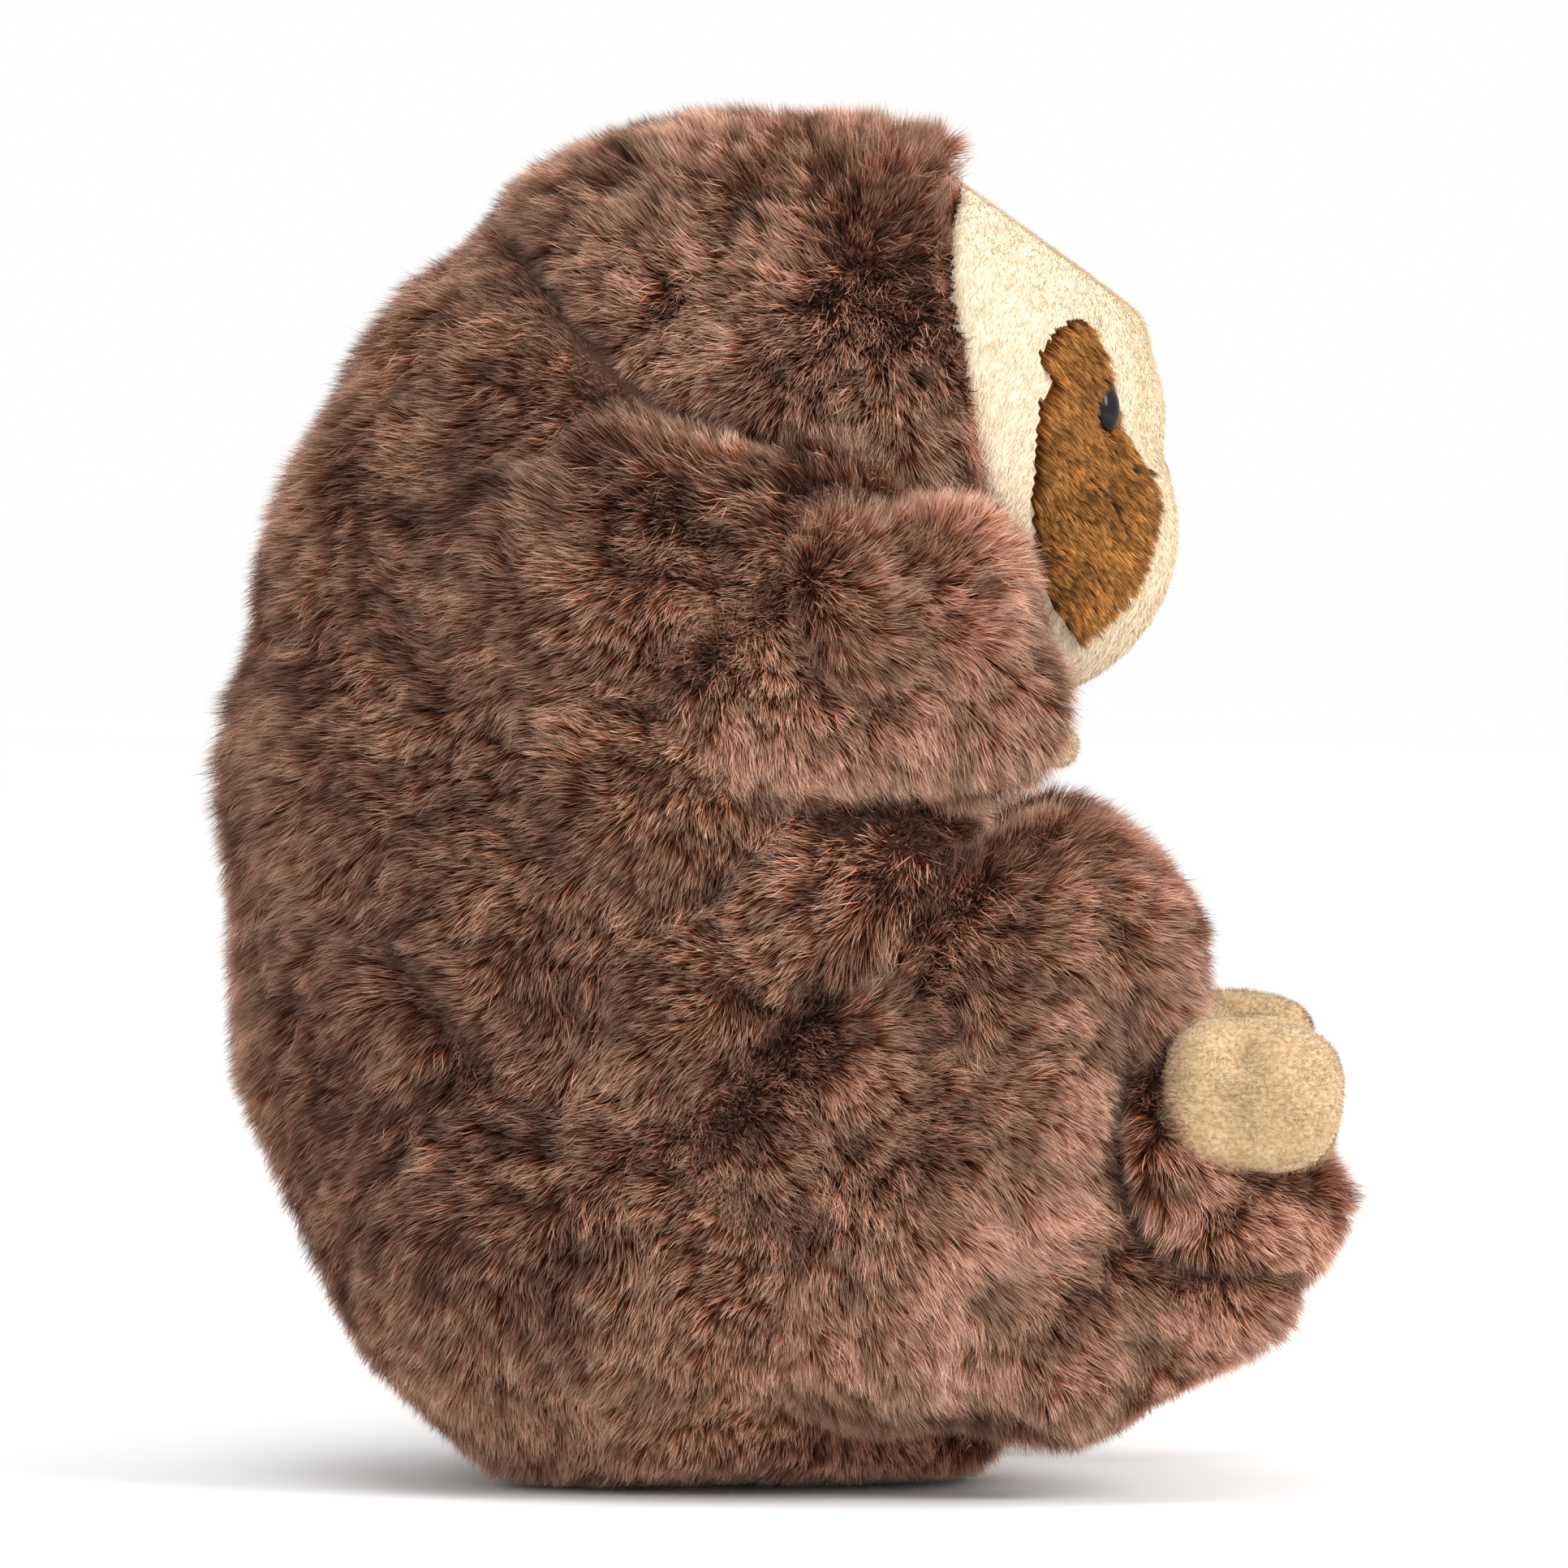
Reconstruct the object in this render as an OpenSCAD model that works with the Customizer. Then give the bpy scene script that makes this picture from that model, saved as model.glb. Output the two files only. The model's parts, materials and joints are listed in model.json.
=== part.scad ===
// Seated plush sloth: stuffed fur body with a head, two arms and two legs sewn on.
// It sits on its base at z = 0, faces -Y, and its left side is +X. Millimetres.

/* [Body] */
// Radius of the rump, which carries the flat base
rump_r = 58; // [50:1:66]
// Height of the rump's centre over the floor
rump_z = 40; // [34:1:46]
// Distance of the rump's centre behind the middle
rump_y = 9; // [2:1:16]
// Radius of the belly
belly_r = 68; // [58:1:82]
// Height of the belly's centre
belly_z = 72; // [64:1:80]
// Distance of the belly's centre behind the middle
belly_y = 30; // [24:1:36]
// Radius of the back
back_r = 68; // [56:1:82]
// Height of the back's centre
back_z = 118; // [110:1:126]
// Distance of the back's centre behind the middle
back_y = 33; // [27:1:39]
// Radius of the hump behind the head
hump_r = 54; // [48:1:60]
// Height of the hump's centre
hump_z = 172; // [164:1:178]
// Distance of the hump's centre behind the middle
hump_y = 30; // [24:1:36]
// Distance behind the middle of the step where the chest stops under the chin, negative in front
chest_y = -8; // [-14:1:-2]

/* [Head] */
// Radius of the head
head_r = 54; // [45:1:65]
// Height of the head's centre
head_z = 188; // [182:1:194]
// Distance of the head's centre behind the middle, negative in front
head_y = -6; // [-12:1:-2]
// Radius of the brow
brow_r = 51; // [44:1:56]
// How far the brow's centre lies in front of the head's centre
brow_out = 10; // [6:1:14]
// How far the brow's centre lies over the head's centre
brow_up = 1; // [-2:1:4]
// Radius of the back of the head, where it fills out over the nape
nape_r = 46; // [40:1:50]
// How far the back of the head lies behind the head's centre
nape_back = 14; // [8:1:18]
// How far it lies above the head's centre
nape_up = 9; // [4:1:12]
// Radius of the muzzle
muzzle_r = 32; // [26:1:38]
// How far the muzzle's centre lies in front of the head's centre
muzzle_out = 32; // [28:1:36]
// How far the muzzle's centre lies under the head's centre
muzzle_drop = 20; // [16:1:24]
// Sideways distance from the middle to each half of the muzzle
muzzle_spread = 6; // [2:1:9]
// Distance of the hood's edge in front of the head's centre
hood_edge = 31; // [26:1:36]
// Lean of the hood's edge, degrees
hood_lean = 11; // [5:1:17]
// Turn of the head to each side, degrees
head_turn = 10; // [5:1:12]
// Nod of the head to each side, degrees
head_nod = 8; // [4:1:9]

/* [Face] */
// Sideways distance from the middle to an eye
eye_x = 31; // [26:1:35]
// Height of an eye over the brow's centre
eye_up = -1; // [-5:1:5]
// Radius of an eye
eye_r = 4; // [3:0.5:5]
// Height of an eye's dome
eye_dome = 2.6; // [2:0.1:3]
// Radius of the nose
nose_r = 5; // [4:0.5:6]
// Height of the nose's dome
nose_dome = 1.8; // [1.4:0.1:3]
// Height of the nose over the muzzle's centre
nose_up = 9; // [6:1:10]
// Radius of a locking washer
washer_r = 6; // [5:0.5:7]
// Thickness of a locking washer
washer_t = 1.2; // [1:0.1:1.6]
// Radius of the stem behind an eye or the nose
stem_r = 1.5; // [1:0.1:2]
// Length of a stem past its washer
stem_tail = 3; // [2:0.5:4]
// Least sideways distance from the middle to a dark patch
patch_x = 4; // [2:1:10]

/* [Arms] */
// Radius of the arm at the shoulder
shoulder_r = 21; // [17:1:25]
// Radius of the hand
hand_r = 18; // [15:1:21]
// Sideways distance from the middle to a shoulder
shoulder_x = 59; // [56:1:66]
// Distance of a shoulder behind the middle
shoulder_y = 8; // [2:1:14]
// Sideways distance from the middle to a hand
hand_x = 56; // [54:1:62]
// Distance of a hand in front of the middle
hand_y = -33; // [-40:1:-28]
// Radius of a claw on the hand, at its root
claw_r = 4; // [3:0.5:4]
// Radius of a claw at its tip
claw_tip_r = 3.5; // [2.5:0.5:3.5]
// Length of a claw on the hand, between its end centres
claw_l = 8; // [6:1:10]
// Depth of a claw's root in the hand
claw_sunk = 3; // [2:1:4]
// Angle between neighbouring claws, degrees
claw_fan = 30; // [28:1:34]
// Turn of the middle claw from straight ahead towards the other hand, degrees
claw_turn = 70; // [60:1:72]
// Droop of the claws, degrees
claw_droop = 25; // [20:1:28]
// Opening of an arm, degrees
arm_open = 35; // [10:1:45]

/* [Legs] */
// Radius of the haunch
haunch_r = 38; // [32:1:42]
// Sideways distance from the middle to a haunch
haunch_x = 44; // [43:1:50]
// Distance of a haunch in front of the middle
haunch_y = -16; // [-22:1:-10]
// Height of a haunch's centre
haunch_z = 48; // [44:1:54]
// Radius of the knee
knee_r = 25; // [20:1:30]
// Sideways distance from the middle to a knee
knee_x = 48; // [44:1:54]
// Distance of a knee in front of the middle
knee_y = -50; // [-56:1:-44]
// Radius of the heel
heel_r = 21; // [18:1:24]
// Height of the heel's centre
heel_z = 27; // [25:1:31]
// Distance of the heel in front of the middle
heel_y = -62; // [-66:1:-58]
// Radius of the foot's ball
foot_r = 22; // [19:1:26]
// Height of the foot's ball
foot_z = 46; // [43:1:50]
// Distance of the foot's ball in front of the middle
foot_y = -79; // [-84:1:-75]
// Sideways distance from the middle to a foot
foot_x = 46; // [42:1:52]
// Radius of a toe at its end
toe_r = 8.4; // [7:0.2:9]
// Radius of a toe at its root
toe_root_r = 7.4; // [6:0.2:8]
// Length of a toe, between its end centres
toe_l = 17; // [12:1:21]
// Distance of the toes' roots behind the middle of the foot's ball
toe_back = 4; // [0:1:8]
// How far the toes' roots lie under the top of the foot's ball
toe_sunk = 3; // [0:1:6]
// Lean of the toes towards the front, degrees from upright
toe_lean = 50; // [30:1:60]
// Distance between neighbouring toes
toe_pitch = 17; // [14.5:0.5:20]
// Splay of a leg, degrees
leg_splay = 25; // [8:1:30]

/* [Fabric and filling] */
// Thickness of the pile fabric's backing with its seam allowance
cloth = 2; // [1.2:0.1:3]
// Height at which the base panel is sewn to the body
base_seam_z = 14; // [10:1:18]
// Distance behind the middle at which the belly panel is sewn to the back
side_seam_y = 0; // [-6:1:6]
// Radius of the pellet pouch
pouch_r = 24; // [16:1:24]
// Thickness of the pouch's cloth
pouch_cloth = 0.8; // [0.5:0.1:1.2]
// Distance of the pouch behind the middle
pouch_y = 26; // [26:1:30]
// Thickness of the wad of stuffing in the neck seam
neck_t = 3; // [2:0.5:4]
// Radius of the wad of stuffing in the neck seam
neck_r = 30; // [24:1:32]
// Radius of the sewing thread
thread_r = 0.5; // [0.3:0.1:0.8]
// Distance between neighbouring stitches of the closing seam
stitch_pitch = 4; // [3:0.5:6]
// Stitches in the closing seam
stitches = 9; // [5:2:11]

/* [Hidden] */
$fn = 48;

left = 1;
right = -1;
fur_colour = [0.50, 0.38, 0.31];
cream_colour = [0.97, 0.92, 0.80];
patch_colour = [0.58, 0.37, 0.18];
claw_colour = [0.89, 0.75, 0.55];
filling_colour = [0.95, 0.95, 0.93];
bead_colour = [0.05, 0.05, 0.05];
thread_colour = [0.35, 0.25, 0.20];

// Running clearance between pieces that turn on each other
run = 0.4;
// Clearance between a cover and the filling inside it
fit = 0.2;
// Room kept between limbs that pass each other
pass = 2;
// Half the side of a block that is larger than the whole toy
far = 400;
// Steps on a quarter of a lathe-turned end
quarter_steps = 9;
// Sides of a faceted ball, and how near its facets come to its centre, as a share of its radius
ball_sides = 28;
flat_share = pow(cos(180 / ball_sides), 2);

head_c = [0, head_y, head_z];
brow_c = [0, head_y - brow_out, head_z + brow_up];
muzzle_c = [0, head_y - muzzle_out, head_z - muzzle_drop];
nape_c = [0, head_y + nape_back, head_z + nape_up];
// The back of the head slides this much as the head nods and turns.
nape_slide = norm([nape_back * sin(head_turn), norm([nape_back, nape_up]) * sin(head_nod)]) + run;
// The arms lie as high as the head's ball lets them pass.
arm_mid_x = (shoulder_x + hand_x) / 2;
arm_mid_r = (shoulder_r + hand_r) / 2;
arm_z = head_z - sqrt(pow(head_r + arm_mid_r + pass, 2) - pow(arm_mid_x, 2));
// The knees lie just under the hands.
knee_z = arm_z - hand_r - pass - knee_r;
// The chest stops under the chin at the head's lowest nod.
chest_z = head_z - muzzle_out * sin(head_nod) - muzzle_drop * cos(head_nod) - muzzle_r - pass;
// The pellet pouch lies on the inside of the base.
pouch_z = cloth + fit + pouch_r;
neck_dir = [0, back_y - head_y, back_z - head_z];
// The wad in the neck seam slides this much as the head nods.
neck_slide = (head_r + neck_t) * sin(head_nod) + pass;

// Outline of the dark patch round the eye, as seen from the side
patch_outline = [
    [-51, 204], [-45, 200], [-43, 186], [-42, 166], [-44, 157], [-50, 148],
    [-58, 154], [-64, 166], [-65, 174], [-61, 182], [-57, 190], [-55, 198]
];

function shoulder_at(s) = [s * shoulder_x, shoulder_y, arm_z];
function hand_at(s) = [s * hand_x, hand_y, arm_z];
function haunch_at(s) = [s * haunch_x, haunch_y, haunch_z];
function knee_at(s) = [s * knee_x, knee_y, knee_z];
function heel_at(s) = [s * foot_x, heel_y, heel_z];
function foot_at(s) = [s * foot_x, foot_y, foot_z];
function eye_depth() = sqrt(pow(brow_r, 2) - pow(eye_x, 2) - pow(eye_up, 2));
function eye_dir(s) = [s * eye_x, -eye_depth(), eye_up];
function nose_dir() = [0, -sqrt(pow(muzzle_r, 2) - pow(nose_up, 2)), nose_up];
function arc(r, z, from, to) = [
    for (i = [0 : 2 * quarter_steps])
        let (a = from + (to - from) * i / (2 * quarter_steps))
        [max(r * cos(a), 0), z + r * sin(a)]
];

// Stands a child's +Z along a direction.
module along(d) {
    rotate([0, acos(d[2] / norm(d)), atan2(d[1], d[0])]) children();
}

// A faceted ball of a soft cover
module ball(p, r) {
    hull() translate(p) sphere(r = r, $fn = ball_sides);
}

// The faceted hollow that a true ball turns in
module socket(p, r) {
    ball(p, (r + run) / flat_share);
}

module true_ball(p, r) {
    translate(p) sphere(r = r);
}

// A round-ended limb that tapers from one ball to the next.
module taper(p1, r1, p2, r2) {
    d = p2 - p1;
    l = norm(d);
    slope = asin((r1 - r2) / l);
    translate(p1) along(d) rotate_extrude()
        polygon(concat(arc(r1, 0, -90, slope), arc(r2, l, slope, 90)));
}

module half_space_x(s, x) {
    translate([s * (x + far), 0, 0]) cube(2 * far, center = true);
}

module above(z) {
    translate([0, 0, z + far]) cube(2 * far, center = true);
}

module in_front(y) {
    translate([0, y - far, 0]) cube(2 * far, center = true);
}

// Everything in front of the hood's leaning edge
module face_side() {
    translate([0, head_y - hood_edge, head_z]) rotate([-hood_lean, 0, 0]) in_front(0);
}

// ---- outer forms, each shrunk by a wall ----

module body_form(wall) {
    intersection() {
        hull() {
            ball([0, rump_y, rump_z], rump_r - wall);
            ball([0, belly_y, belly_z], belly_r - wall);
            ball([0, back_y, back_z], back_r - wall);
            ball([0, hump_y, hump_z], hump_r - wall);
        }
        above(wall);
    }
}

module head_form(wall) {
    ball(head_c, head_r - wall);
    ball(brow_c, brow_r - wall);
    ball(nape_c, nape_r - wall);
    hull() {
        ball(muzzle_c + [muzzle_spread, 0, 0], muzzle_r - wall);
        ball(muzzle_c - [muzzle_spread, 0, 0], muzzle_r - wall);
    }
}

module arm_form(s, wall) {
    taper(shoulder_at(s), shoulder_r - wall, hand_at(s), hand_r - wall);
}

module leg_form(s, wall) {
    taper(haunch_at(s), haunch_r - wall, knee_at(s), knee_r - wall);
}

module foot_form(s, wall) {
    taper(heel_at(s), heel_r - wall, foot_at(s), foot_r - wall);
}

// Room in the body for the head, the neck's wad and the four limbs
module body_room() {
    socket(head_c, head_r);
    socket(nape_c, nape_r + nape_slide);
    intersection() {
        socket(head_c, head_r + neck_t + run);
        translate(head_c) along(neck_dir) cylinder(h = 2 * head_r, r = neck_r + neck_slide);
    }
    intersection() {
        above(chest_z);
        in_front(chest_y);
    }
    for (s = [left, right]) {
        limb_room(s, shoulder_at(s), shoulder_r, hand_at(s), hand_r, arm_open);
        limb_room(s, haunch_at(s), haunch_r, knee_at(s), knee_r, leg_splay);
    }
}

// The room that a limb sweeps as it opens: tight at its joint and wider at its far end
module limb_room(s, joint, joint_r, end, end_r, angle) {
    hull() {
        socket(joint, joint_r);
        for (turned = [0, angle / 2, angle])
            translate(joint) rotate([0, 0, s * turned]) socket(end - joint, end_r + pass);
    }
}

module body_cover() {
    difference() {
        body_form(0);
        body_form(cloth);
        body_room();
    }
}

// ---- body ----

// The side of the body that the belly panel covers: its front, up to the step under the chin
module belly_side() {
    difference() {
        in_front(side_seam_y);
        above(chest_z);
    }
}

module back_panel(s) {
    color(fur_colour) difference() {
        intersection() {
            body_cover();
            half_space_x(s, 0);
        }
        belly_side();
        translate([0, 0, base_seam_z - far]) cube(2 * far, center = true);
    }
}

module belly_panel() {
    color(fur_colour) intersection() {
        body_cover();
        belly_side();
        above(base_seam_z);
    }
}

module base_panel() {
    color(fur_colour) difference() {
        body_cover();
        above(base_seam_z);
    }
}

module body_stuffing() {
    color(filling_colour) difference() {
        body_form(cloth + fit);
        body_room();
        socket([0, pouch_y, pouch_z], pouch_r);
        translate([0, pouch_y, 0]) cylinder(h = pouch_z, r = pouch_r + run);
    }
}

module pellet_pouch() {
    color(claw_colour) difference() {
        true_ball([0, pouch_y, pouch_z], pouch_r);
        true_ball([0, pouch_y, pouch_z], pouch_r - pouch_cloth);
    }
}

module pellets() {
    color(filling_colour) true_ball([0, pouch_y, pouch_z], pouch_r - pouch_cloth - fit);
}

// Short stitches across the middle of the back, where the last opening was drawn shut.
// They lie on the straight stretch between the belly's ball and the back's ball.
module closing_seam() {
    spine = [0, back_y - belly_y, back_z - belly_z];
    lean = asin((belly_r - back_r) / norm(spine)) - atan2(spine[1], spine[2]);
    out = [0, cos(lean), sin(lean)];
    low = [0, belly_y, belly_z] + belly_r * out;
    high = [0, back_y, back_z] + back_r * out;
    up = (high - low) / norm(high - low);
    color(thread_colour) for (i = [0 : stitches - 1])
        translate((low + high) / 2 + (i - (stitches - 1) / 2) * stitch_pitch * up + (thread_r + fit) * out)
            rotate([0, 90, 0]) cylinder(h = stitch_pitch, r = thread_r, center = true);
}

module neck_stuffing() {
    color(filling_colour) intersection() {
        difference() {
            true_ball(head_c, head_r + neck_t + run);
            true_ball(head_c, head_r + run);
        }
        translate(head_c) along(neck_dir) cylinder(h = 2 * head_r, r = neck_r);
    }
}

// ---- head ----

module head_cover() {
    difference() {
        head_form(0);
        head_form(cloth);
    }
}

module hood(s) {
    color(fur_colour) difference() {
        intersection() {
            head_cover();
            half_space_x(s, 0);
        }
        face_side();
    }
}

// The slug of space over and under one eye patch, from the middle outwards
module patch_block(s) {
    rotate([90, 0, 90]) translate([0, 0, s > 0 ? patch_x : -far - patch_x])
        linear_extrude(far) polygon(patch_outline);
}

module stem_hole(c, d) {
    translate(c) along(d) cylinder(h = 2 * head_r, r = stem_r + fit);
}

module face_panel() {
    color(cream_colour) difference() {
        intersection() {
            head_cover();
            face_side();
        }
        patch_block(left);
        patch_block(right);
        stem_hole(muzzle_c, nose_dir());
        stem_hole(brow_c, eye_dir(left));
        stem_hole(brow_c, eye_dir(right));
    }
}

module eye_patch(s) {
    color(patch_colour) difference() {
        intersection() {
            head_cover();
            face_side();
            patch_block(s);
        }
        stem_hole(brow_c, eye_dir(s));
    }
}

// A domed bead on a stem, its back face seated on a ball's surface
module bead(c, d, r, dome) {
    seat = norm(d) + fit;
    grip = cloth + washer_t + stem_tail;
    curve_r = (r * r + dome * dome) / (2 * dome);
    color(bead_colour) translate(c) along(d) {
        translate([0, 0, seat]) intersection() {
            translate([0, 0, dome - curve_r]) sphere(r = curve_r);
            cylinder(h = 2 * r, r = 2 * r);
        }
        translate([0, 0, seat - grip]) cylinder(h = grip + dome / 2, r = stem_r);
    }
}

module eye(s) {
    bead(brow_c, eye_dir(s), eye_r, eye_dome);
}

module nose() {
    bead(muzzle_c, nose_dir(), nose_r, nose_dome);
}

// Distance from a ball's centre at which a washer's rim meets the inside of its cover
function washer_seat(d) = sqrt(pow((norm(d) - cloth) * flat_share - fit, 2) - pow(washer_r, 2));

module washer(c, d) {
    color(filling_colour) translate(c) along(d) difference() {
        translate([0, 0, washer_seat(d) - washer_t]) cylinder(h = washer_t, r = washer_r);
        cylinder(h = norm(d), r = stem_r + fit / 2);
    }
}

// Room in the head's filling for a washer and the end of its stem
module washer_room(c, d) {
    translate(c) along(d) {
        translate([0, 0, washer_seat(d) - washer_t - fit]) cylinder(h = head_r, r = washer_r + fit);
        translate([0, 0, norm(d) - cloth - washer_t - stem_tail]) cylinder(h = head_r, r = stem_r + fit);
    }
}

module head_stuffing() {
    color(filling_colour) difference() {
        head_form(cloth + fit);
        washer_room(brow_c, eye_dir(left));
        washer_room(brow_c, eye_dir(right));
        washer_room(muzzle_c, nose_dir());
    }
}

// ---- arms ----

module arm_panel(s, outer) {
    color(fur_colour) difference() {
        arm_form(s, 0);
        arm_form(s, cloth);
        if (outer) half_space_x(-s, -arm_mid_x);
        else half_space_x(s, arm_mid_x);
    }
}

module arm_stuffing(s) {
    color(filling_colour) arm_form(s, cloth + fit);
}

// Three stuffed knit claws, fanned over the inner side of the hand
module hand_claws(s) {
    color(claw_colour) difference() {
        for (i = [-1 : 1]) {
            turn = claw_turn + i * claw_fan;
            point = [-s * sin(turn) * cos(claw_droop), -cos(turn) * cos(claw_droop), -sin(claw_droop)];
            root = hand_at(s) + (hand_r - claw_sunk) * point;
            taper(root, claw_r, root + claw_l * point, claw_tip_r);
        }
        arm_form(s, -fit);
    }
}

// ---- legs ----

module leg_panel(s, outer) {
    color(fur_colour) difference() {
        leg_form(s, 0);
        leg_form(s, cloth);
        if (outer) half_space_x(-s, -haunch_x);
        else half_space_x(s, haunch_x);
    }
}

module leg_stuffing(s) {
    color(filling_colour) leg_form(s, cloth + fit);
}

module foot_cover(s) {
    color(fur_colour) difference() {
        foot_form(s, 0);
        foot_form(s, cloth);
        leg_form(s, -fit);
    }
}

module foot_stuffing(s) {
    color(filling_colour) difference() {
        foot_form(s, cloth + fit);
        leg_form(s, -run);
    }
}

// Three stuffed knit toes, which stand up from the top of the foot
module toes(s) {
    lean = [0, -sin(toe_lean), cos(toe_lean)];
    color(claw_colour) difference() {
        for (i = [-1 : 1]) {
            root = foot_at(s) + [i * toe_pitch, toe_back, foot_r - toe_sunk];
            taper(root, toe_root_r, root + toe_l * lean, toe_r);
        }
        foot_form(s, -fit);
        leg_form(s, -fit);
    }
}

back_panel(left);  // back_left
back_panel(right);  // back_right
belly_panel();
base_panel();
body_stuffing();
pellet_pouch();
pellets();
closing_seam();
neck_stuffing();
hood(left);  // hood_left
hood(right);  // hood_right
face_panel();
eye_patch(left);  // eye_patch_left
eye_patch(right);  // eye_patch_right
eye(left);  // eye_left
eye(right);  // eye_right
washer(brow_c, eye_dir(left));  // eye_washer_left
washer(brow_c, eye_dir(right));  // eye_washer_right
nose();
washer(muzzle_c, nose_dir());  // nose_washer
head_stuffing();
arm_panel(left, true);  // arm_left_outer
arm_panel(left, false);  // arm_left_inner
arm_stuffing(left);  // arm_left_stuffing
hand_claws(left);  // hand_claws_left
arm_panel(right, true);  // arm_right_outer
arm_panel(right, false);  // arm_right_inner
arm_stuffing(right);  // arm_right_stuffing
hand_claws(right);  // hand_claws_right
leg_panel(left, true);  // leg_left_outer
leg_panel(left, false);  // leg_left_inner
leg_stuffing(left);  // leg_left_stuffing
foot_cover(left);  // foot_left_cover
foot_stuffing(left);  // foot_left_stuffing
toes(left);  // toes_left
leg_panel(right, true);  // leg_right_outer
leg_panel(right, false);  // leg_right_inner
leg_stuffing(right);  // leg_right_stuffing
foot_cover(right);  // foot_right_cover
foot_stuffing(right);  // foot_right_stuffing
toes(right);  // toes_right
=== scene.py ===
import json
import math

import bmesh
import bpy
import numpy as np
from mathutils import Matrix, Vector
from mathutils.bvhtree import BVHTree
from mathutils.kdtree import KDTree


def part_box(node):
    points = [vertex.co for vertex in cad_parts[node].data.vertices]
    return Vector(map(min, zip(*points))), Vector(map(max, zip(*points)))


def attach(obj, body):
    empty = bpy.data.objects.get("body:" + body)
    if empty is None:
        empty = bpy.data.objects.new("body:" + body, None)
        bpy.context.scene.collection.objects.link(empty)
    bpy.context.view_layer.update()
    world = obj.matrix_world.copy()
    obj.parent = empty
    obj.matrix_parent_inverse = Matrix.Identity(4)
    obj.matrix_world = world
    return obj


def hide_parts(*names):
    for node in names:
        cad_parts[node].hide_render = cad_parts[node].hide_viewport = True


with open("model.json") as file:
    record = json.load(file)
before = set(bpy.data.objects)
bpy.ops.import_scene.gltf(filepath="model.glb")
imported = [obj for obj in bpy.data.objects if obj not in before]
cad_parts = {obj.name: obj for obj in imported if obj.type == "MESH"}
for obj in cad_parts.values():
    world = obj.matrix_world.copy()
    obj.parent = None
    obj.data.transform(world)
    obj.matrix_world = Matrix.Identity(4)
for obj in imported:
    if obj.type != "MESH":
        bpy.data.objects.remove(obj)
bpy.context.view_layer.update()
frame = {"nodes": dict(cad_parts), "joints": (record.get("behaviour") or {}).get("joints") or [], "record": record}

# ---------------------------------------------------------------------------
# The table it sits on: a pale floor, a white room and two soft boxes.
# The camera stands level with the toy's right side, on a long lens.
# ---------------------------------------------------------------------------
view_width = 0.2772
view_middle = Vector((0.0, 0.0009, 0.1228))
camera_distance = 2.4
camera_height_angle = math.radians(1.8)

camera_data = bpy.data.cameras.new("camera")
camera_data.lens = camera_data.sensor_width * camera_distance / view_width
camera = bpy.data.objects.new("camera", camera_data)
bpy.context.scene.collection.objects.link(camera)
sight = Vector((-math.cos(camera_height_angle), 0, math.sin(camera_height_angle)))
camera.location = view_middle + camera_distance * sight
camera.rotation_euler = (-sight).to_track_quat("-Z", "Y").to_euler()
bpy.context.scene.camera = camera
bpy.context.scene.view_settings.view_transform = "Standard"


def soft_box(name, place, watts, size=0.7):
    """A round lamp that points at the middle of the view."""
    data = bpy.data.lights.new(name, "AREA")
    data.shape = "DISK"
    data.size = size
    data.energy = watts
    lamp = bpy.data.objects.new(name, data)
    lamp.location = place
    lamp.rotation_euler = (view_middle - Vector(place)).to_track_quat("-Z", "Y").to_euler()
    bpy.context.scene.collection.objects.link(lamp)


soft_box("soft_box_front", (-1.0, -1.2, 0.85), 26)
soft_box("soft_box_high", (-0.7, 0.3, 1.5), 6)

room_light = bpy.data.worlds.new("white_room")
room_light.use_nodes = True
glow = room_light.node_tree.nodes["Background"]
glow.inputs["Color"].default_value = (1.0, 1.0, 1.0, 1)
glow.inputs["Strength"].default_value = 1.0
bpy.context.scene.world = room_light


def finish_with(name, roughness, **constants):
    """A new material; its colour and bump are wired by the piece that wears it."""
    material = bpy.data.materials.new(name)
    material.use_nodes = True
    shader = material.node_tree.nodes["Principled BSDF"]
    shader.inputs["Roughness"].default_value = roughness
    for socket, value in constants.items():
        shader.inputs[socket.replace("_", " ")].default_value = value
    return material, material.node_tree.nodes, material.node_tree.links, shader


def speckle(nodes, links, shader, size, colours, detail=3.0):
    """Colours that drift over a surface in patches of about the given size, in metres."""
    where = nodes.new("ShaderNodeTexCoord")
    cloud = nodes.new("ShaderNodeTexNoise")
    cloud.inputs["Scale"].default_value = 1 / size
    cloud.inputs["Detail"].default_value = detail
    ramp = nodes.new("ShaderNodeValToRGB")
    ramp.color_ramp.elements[0].position = 0.36
    ramp.color_ramp.elements[1].position = 0.64
    for stop, colour in zip(ramp.color_ramp.elements, colours):
        stop.color = (*colour, 1)
    links.new(where.outputs["Object"], cloud.inputs["Vector"])
    links.new(cloud.outputs["Fac"], ramp.inputs["Fac"])
    links.new(ramp.outputs["Color"], shader.inputs["Base Color"])
    return cloud


floor_reach = 12.0
floor_mesh = bpy.data.meshes.new("floor")
floor_mesh.from_pydata(
    [(-floor_reach, -floor_reach, 0), (floor_reach, -floor_reach, 0),
     (floor_reach, floor_reach, 0), (-floor_reach, floor_reach, 0)], [], [(0, 1, 2, 3)])
floor = bpy.data.objects.new("floor", floor_mesh)
bpy.context.scene.collection.objects.link(floor)
floor_paint, nodes, links, shader = finish_with("floor_paint", 0.9)
speckle(nodes, links, shader, 0.4, [(0.985, 0.985, 0.985), (0.995, 0.995, 0.995)])
floor_mesh.materials.append(floor_paint)

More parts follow.
